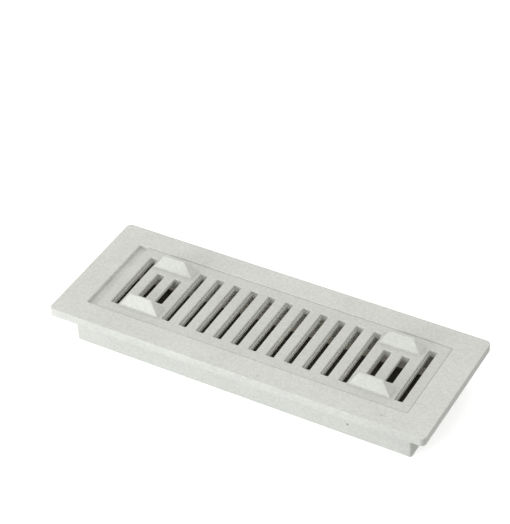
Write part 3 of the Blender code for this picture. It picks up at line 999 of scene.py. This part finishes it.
def floor_material(left, right, glow):
    """A pale floor: it bounces light as its colours do, and shows to the camera as white with shadows."""
    material, tree, shader = new_material("studio_floor")
    x = axis_parts(tree, object_place(tree))[0]
    side = remap(tree, x, CAD_HIGH.x - FLOOR_FADE, CAD_HIGH.x, 0.0, 1.0)
    bounced = mix_colour(tree, side, (*left, 1.0), (*right, 1.0))
    matt_stage_finish(tree, shader, bounced, WHITE, WHITE, glow)
    return material


def painted_shade_card_material(painted_shadow_reach):
    """Matt paper with a faint fibre, which bounces light as pale paper does.

    To the camera it shows a painted shadow, black, up to a line and painted light, dim, behind it, and part
    of that is a painted glow of its own, so that it stays clear of render noise down in the slots."""
    material, tree, shader = new_material("duct_card_painted_shade")
    place = object_place(tree)
    fibre = noise(tree, place, CARD_FIBRE, CARD_FIBRE_DETAIL)
    y = axis_parts(tree, place)[1]
    behind = remap(tree, y, painted_shadow_reach - CARD_SHADE_LINE, painted_shadow_reach + CARD_SHADE_LINE, 0.0, 1.0)
    # The camera sees the card's painted shadow in front of the line and painted light behind it; light
    # bounces off it with the pale colour
    black, dim, pale = (mix_colour(tree, fibre, *pair) for pair in (CARD_PAINTED_SHADOW, CARD_PAINTED_LIGHT, CARD_BOUNCE))
    shown = mix_colour(tree, behind, black, dim)
    # A painted glow of the card's own, faint in front of the line and stronger behind it, seen only by
    # camera, glossy and transmission rays
    glow = remap(tree, behind, 0.0, 1.0, *CARD_PAINTED_GLOW_LEVELS)
    matt_stage_finish(tree, shader, pale, shown, CARD_PAINTED_GLOW_COLOUR, glow)
    return material


def light_world(scene, level, tint):
    """Even light all round at the given level and colour, which shows to the camera as white."""
    world = bpy.data.worlds.new("even_light")
    world.use_nodes = True
    tree = world.node_tree
    lit = tree.nodes["Background"]
    lit.inputs["Color"].default_value = (*tint, 1.0)
    lit.inputs["Strength"].default_value = level
    white = tree.nodes.new("ShaderNodeBackground")
    white.inputs["Color"].default_value = WHITE
    white.inputs["Strength"].default_value = 1.0
    choice = tree.nodes.new("ShaderNodeMixShader")
    tree.links.new(white_to_camera(tree), choice.inputs[0])
    tree.links.new(lit.outputs[0], choice.inputs[1])
    tree.links.new(white.outputs[0], choice.inputs[2])
    tree.links.new(choice.outputs[0], tree.nodes["World Output"].inputs["Surface"])
    scene.world = world


def direction(side_turn, height):
    """The unit vector from the middle to a place turned from the front, to the right, and raised."""
    return Vector((math.sin(side_turn) * math.cos(height), -math.cos(side_turn) * math.cos(height),
                   math.sin(height)))


def place_key_light(scene, stage):
    """A square soft light whose level is the reflected level of a white face turned to it.

    A light of power P at distance d lights such a face with P / (pi d^2), of which it sends back 1 / pi."""
    towards = direction(-stage.key_turn, stage.key_height)
    light = bpy.data.lights.new("key_light", "AREA")
    light.shape = "SQUARE"
    light.size = stage.key_size
    light.color = stage.key_colour
    light.energy = stage.key_level * math.pi ** 2 * stage.key_distance ** 2
    lamp = bpy.data.objects.new("key_light", light)
    lamp.location = towards * stage.key_distance
    lamp.rotation_euler = towards.to_track_quat("Z", "Y").to_euler()
    scene.collection.objects.link(lamp)


def place_camera(scene, stage):
    """The camera looks at a point from a turned and raised place, and is rolled about its line of sight."""
    back = direction(stage.view_turn, stage.view_height)
    right = Vector((math.cos(stage.view_turn), math.sin(stage.view_turn), 0.0))
    up = back.cross(right)
    roll = Matrix.Rotation(stage.view_roll, 3, back)
    axes = Matrix((roll @ right, roll @ up, back)).transposed()
    data = bpy.data.cameras.new("camera")
    data.sensor_width = SENSOR_WIDTH
    data.lens = stage.focal_length
    data.clip_start, data.clip_end = VIEW_RANGE
    camera = bpy.data.objects.new("camera", data)
    camera.matrix_world = Matrix.LocRotScale(
        Vector(stage.view_point) + back * stage.view_distance, axes.to_quaternion(), None)
    scene.collection.objects.link(camera)
    scene.camera = camera


class GRILLE_OT_stage(bpy.types.Operator):
    """Set up the pale floor, the card in the duct with its painted shadow and painted light, the lights and
    the camera
    """

    bl_idname = "grille.stage"
    bl_label = "Studio and camera"

    def execute(self, context):
        scene = context.scene
        stage, size = scene.grille_stage, scene.grille_frame
        half = stage.floor_size / 2
        stage_sheet("floor", (-half, -half), (half, half), -FLOOR_DROP,
                    floor_material(stage.floor_colour, stage.floor_right, stage.floor_glow))
        duct_x = size.face_length / 2 - size.spigot_end_inset - size.spigot_wall - CARD_GAP
        duct_y = size.face_width / 2 - size.spigot_side_inset - size.spigot_wall - CARD_GAP
        # The card in the duct shows the camera a painted shadow and painted light, and bounces light as
        # pale paper
        stage_sheet("duct_card_painted_shade", (-duct_x, -duct_y), (duct_x, duct_y), CARD_LIFT,
                    painted_shade_card_material(stage.card_painted_shade_reach))
        light_world(scene, stage.sky_level, stage.sky_colour)
        place_key_light(scene, stage)
        place_camera(scene, stage)
        scene.view_settings.view_transform = "Standard"
        return {"FINISHED"}


OPERATORS = (GRILLE_OT_frame, GRILLE_OT_shutter, GRILLE_OT_grips, GRILLE_OT_clips, GRILLE_OT_stage)


class GRILLE_PT_panel(bpy.types.Panel):
    """The grille's pieces and their settings"""

    bl_idname = "GRILLE_PT_panel"
    bl_label = "Wall grille"
    bl_space_type = "VIEW_3D"
    bl_region_type = "UI"
    bl_category = "Grille"

    def draw(self, context):
        for operator in OPERATORS:
            self.layout.operator(operator.bl_idname)
        for name, group in SETTINGS.items():
            box = self.layout.box()
            box.label(text=name.replace("_", " ").capitalize())
            for field in group.__annotations__:
                box.prop(getattr(context.scene, name), field)


CLASSES = (*SETTINGS.values(), *OPERATORS, GRILLE_PT_panel)


def register():
    for item in CLASSES:
        bpy.utils.register_class(item)
    for name, group in SETTINGS.items():
        setattr(bpy.types.Scene, name, PointerProperty(type=group))


def unregister():
    for name in SETTINGS:
        delattr(bpy.types.Scene, name)
    for item in reversed(CLASSES):
        bpy.utils.unregister_class(item)


def main():
    register()
    bpy.ops.grille.frame()
    bpy.ops.grille.shutter()
    bpy.ops.grille.grips()
    bpy.ops.grille.clips()
    bpy.ops.grille.stage()


if __name__ == "__main__":
    main()
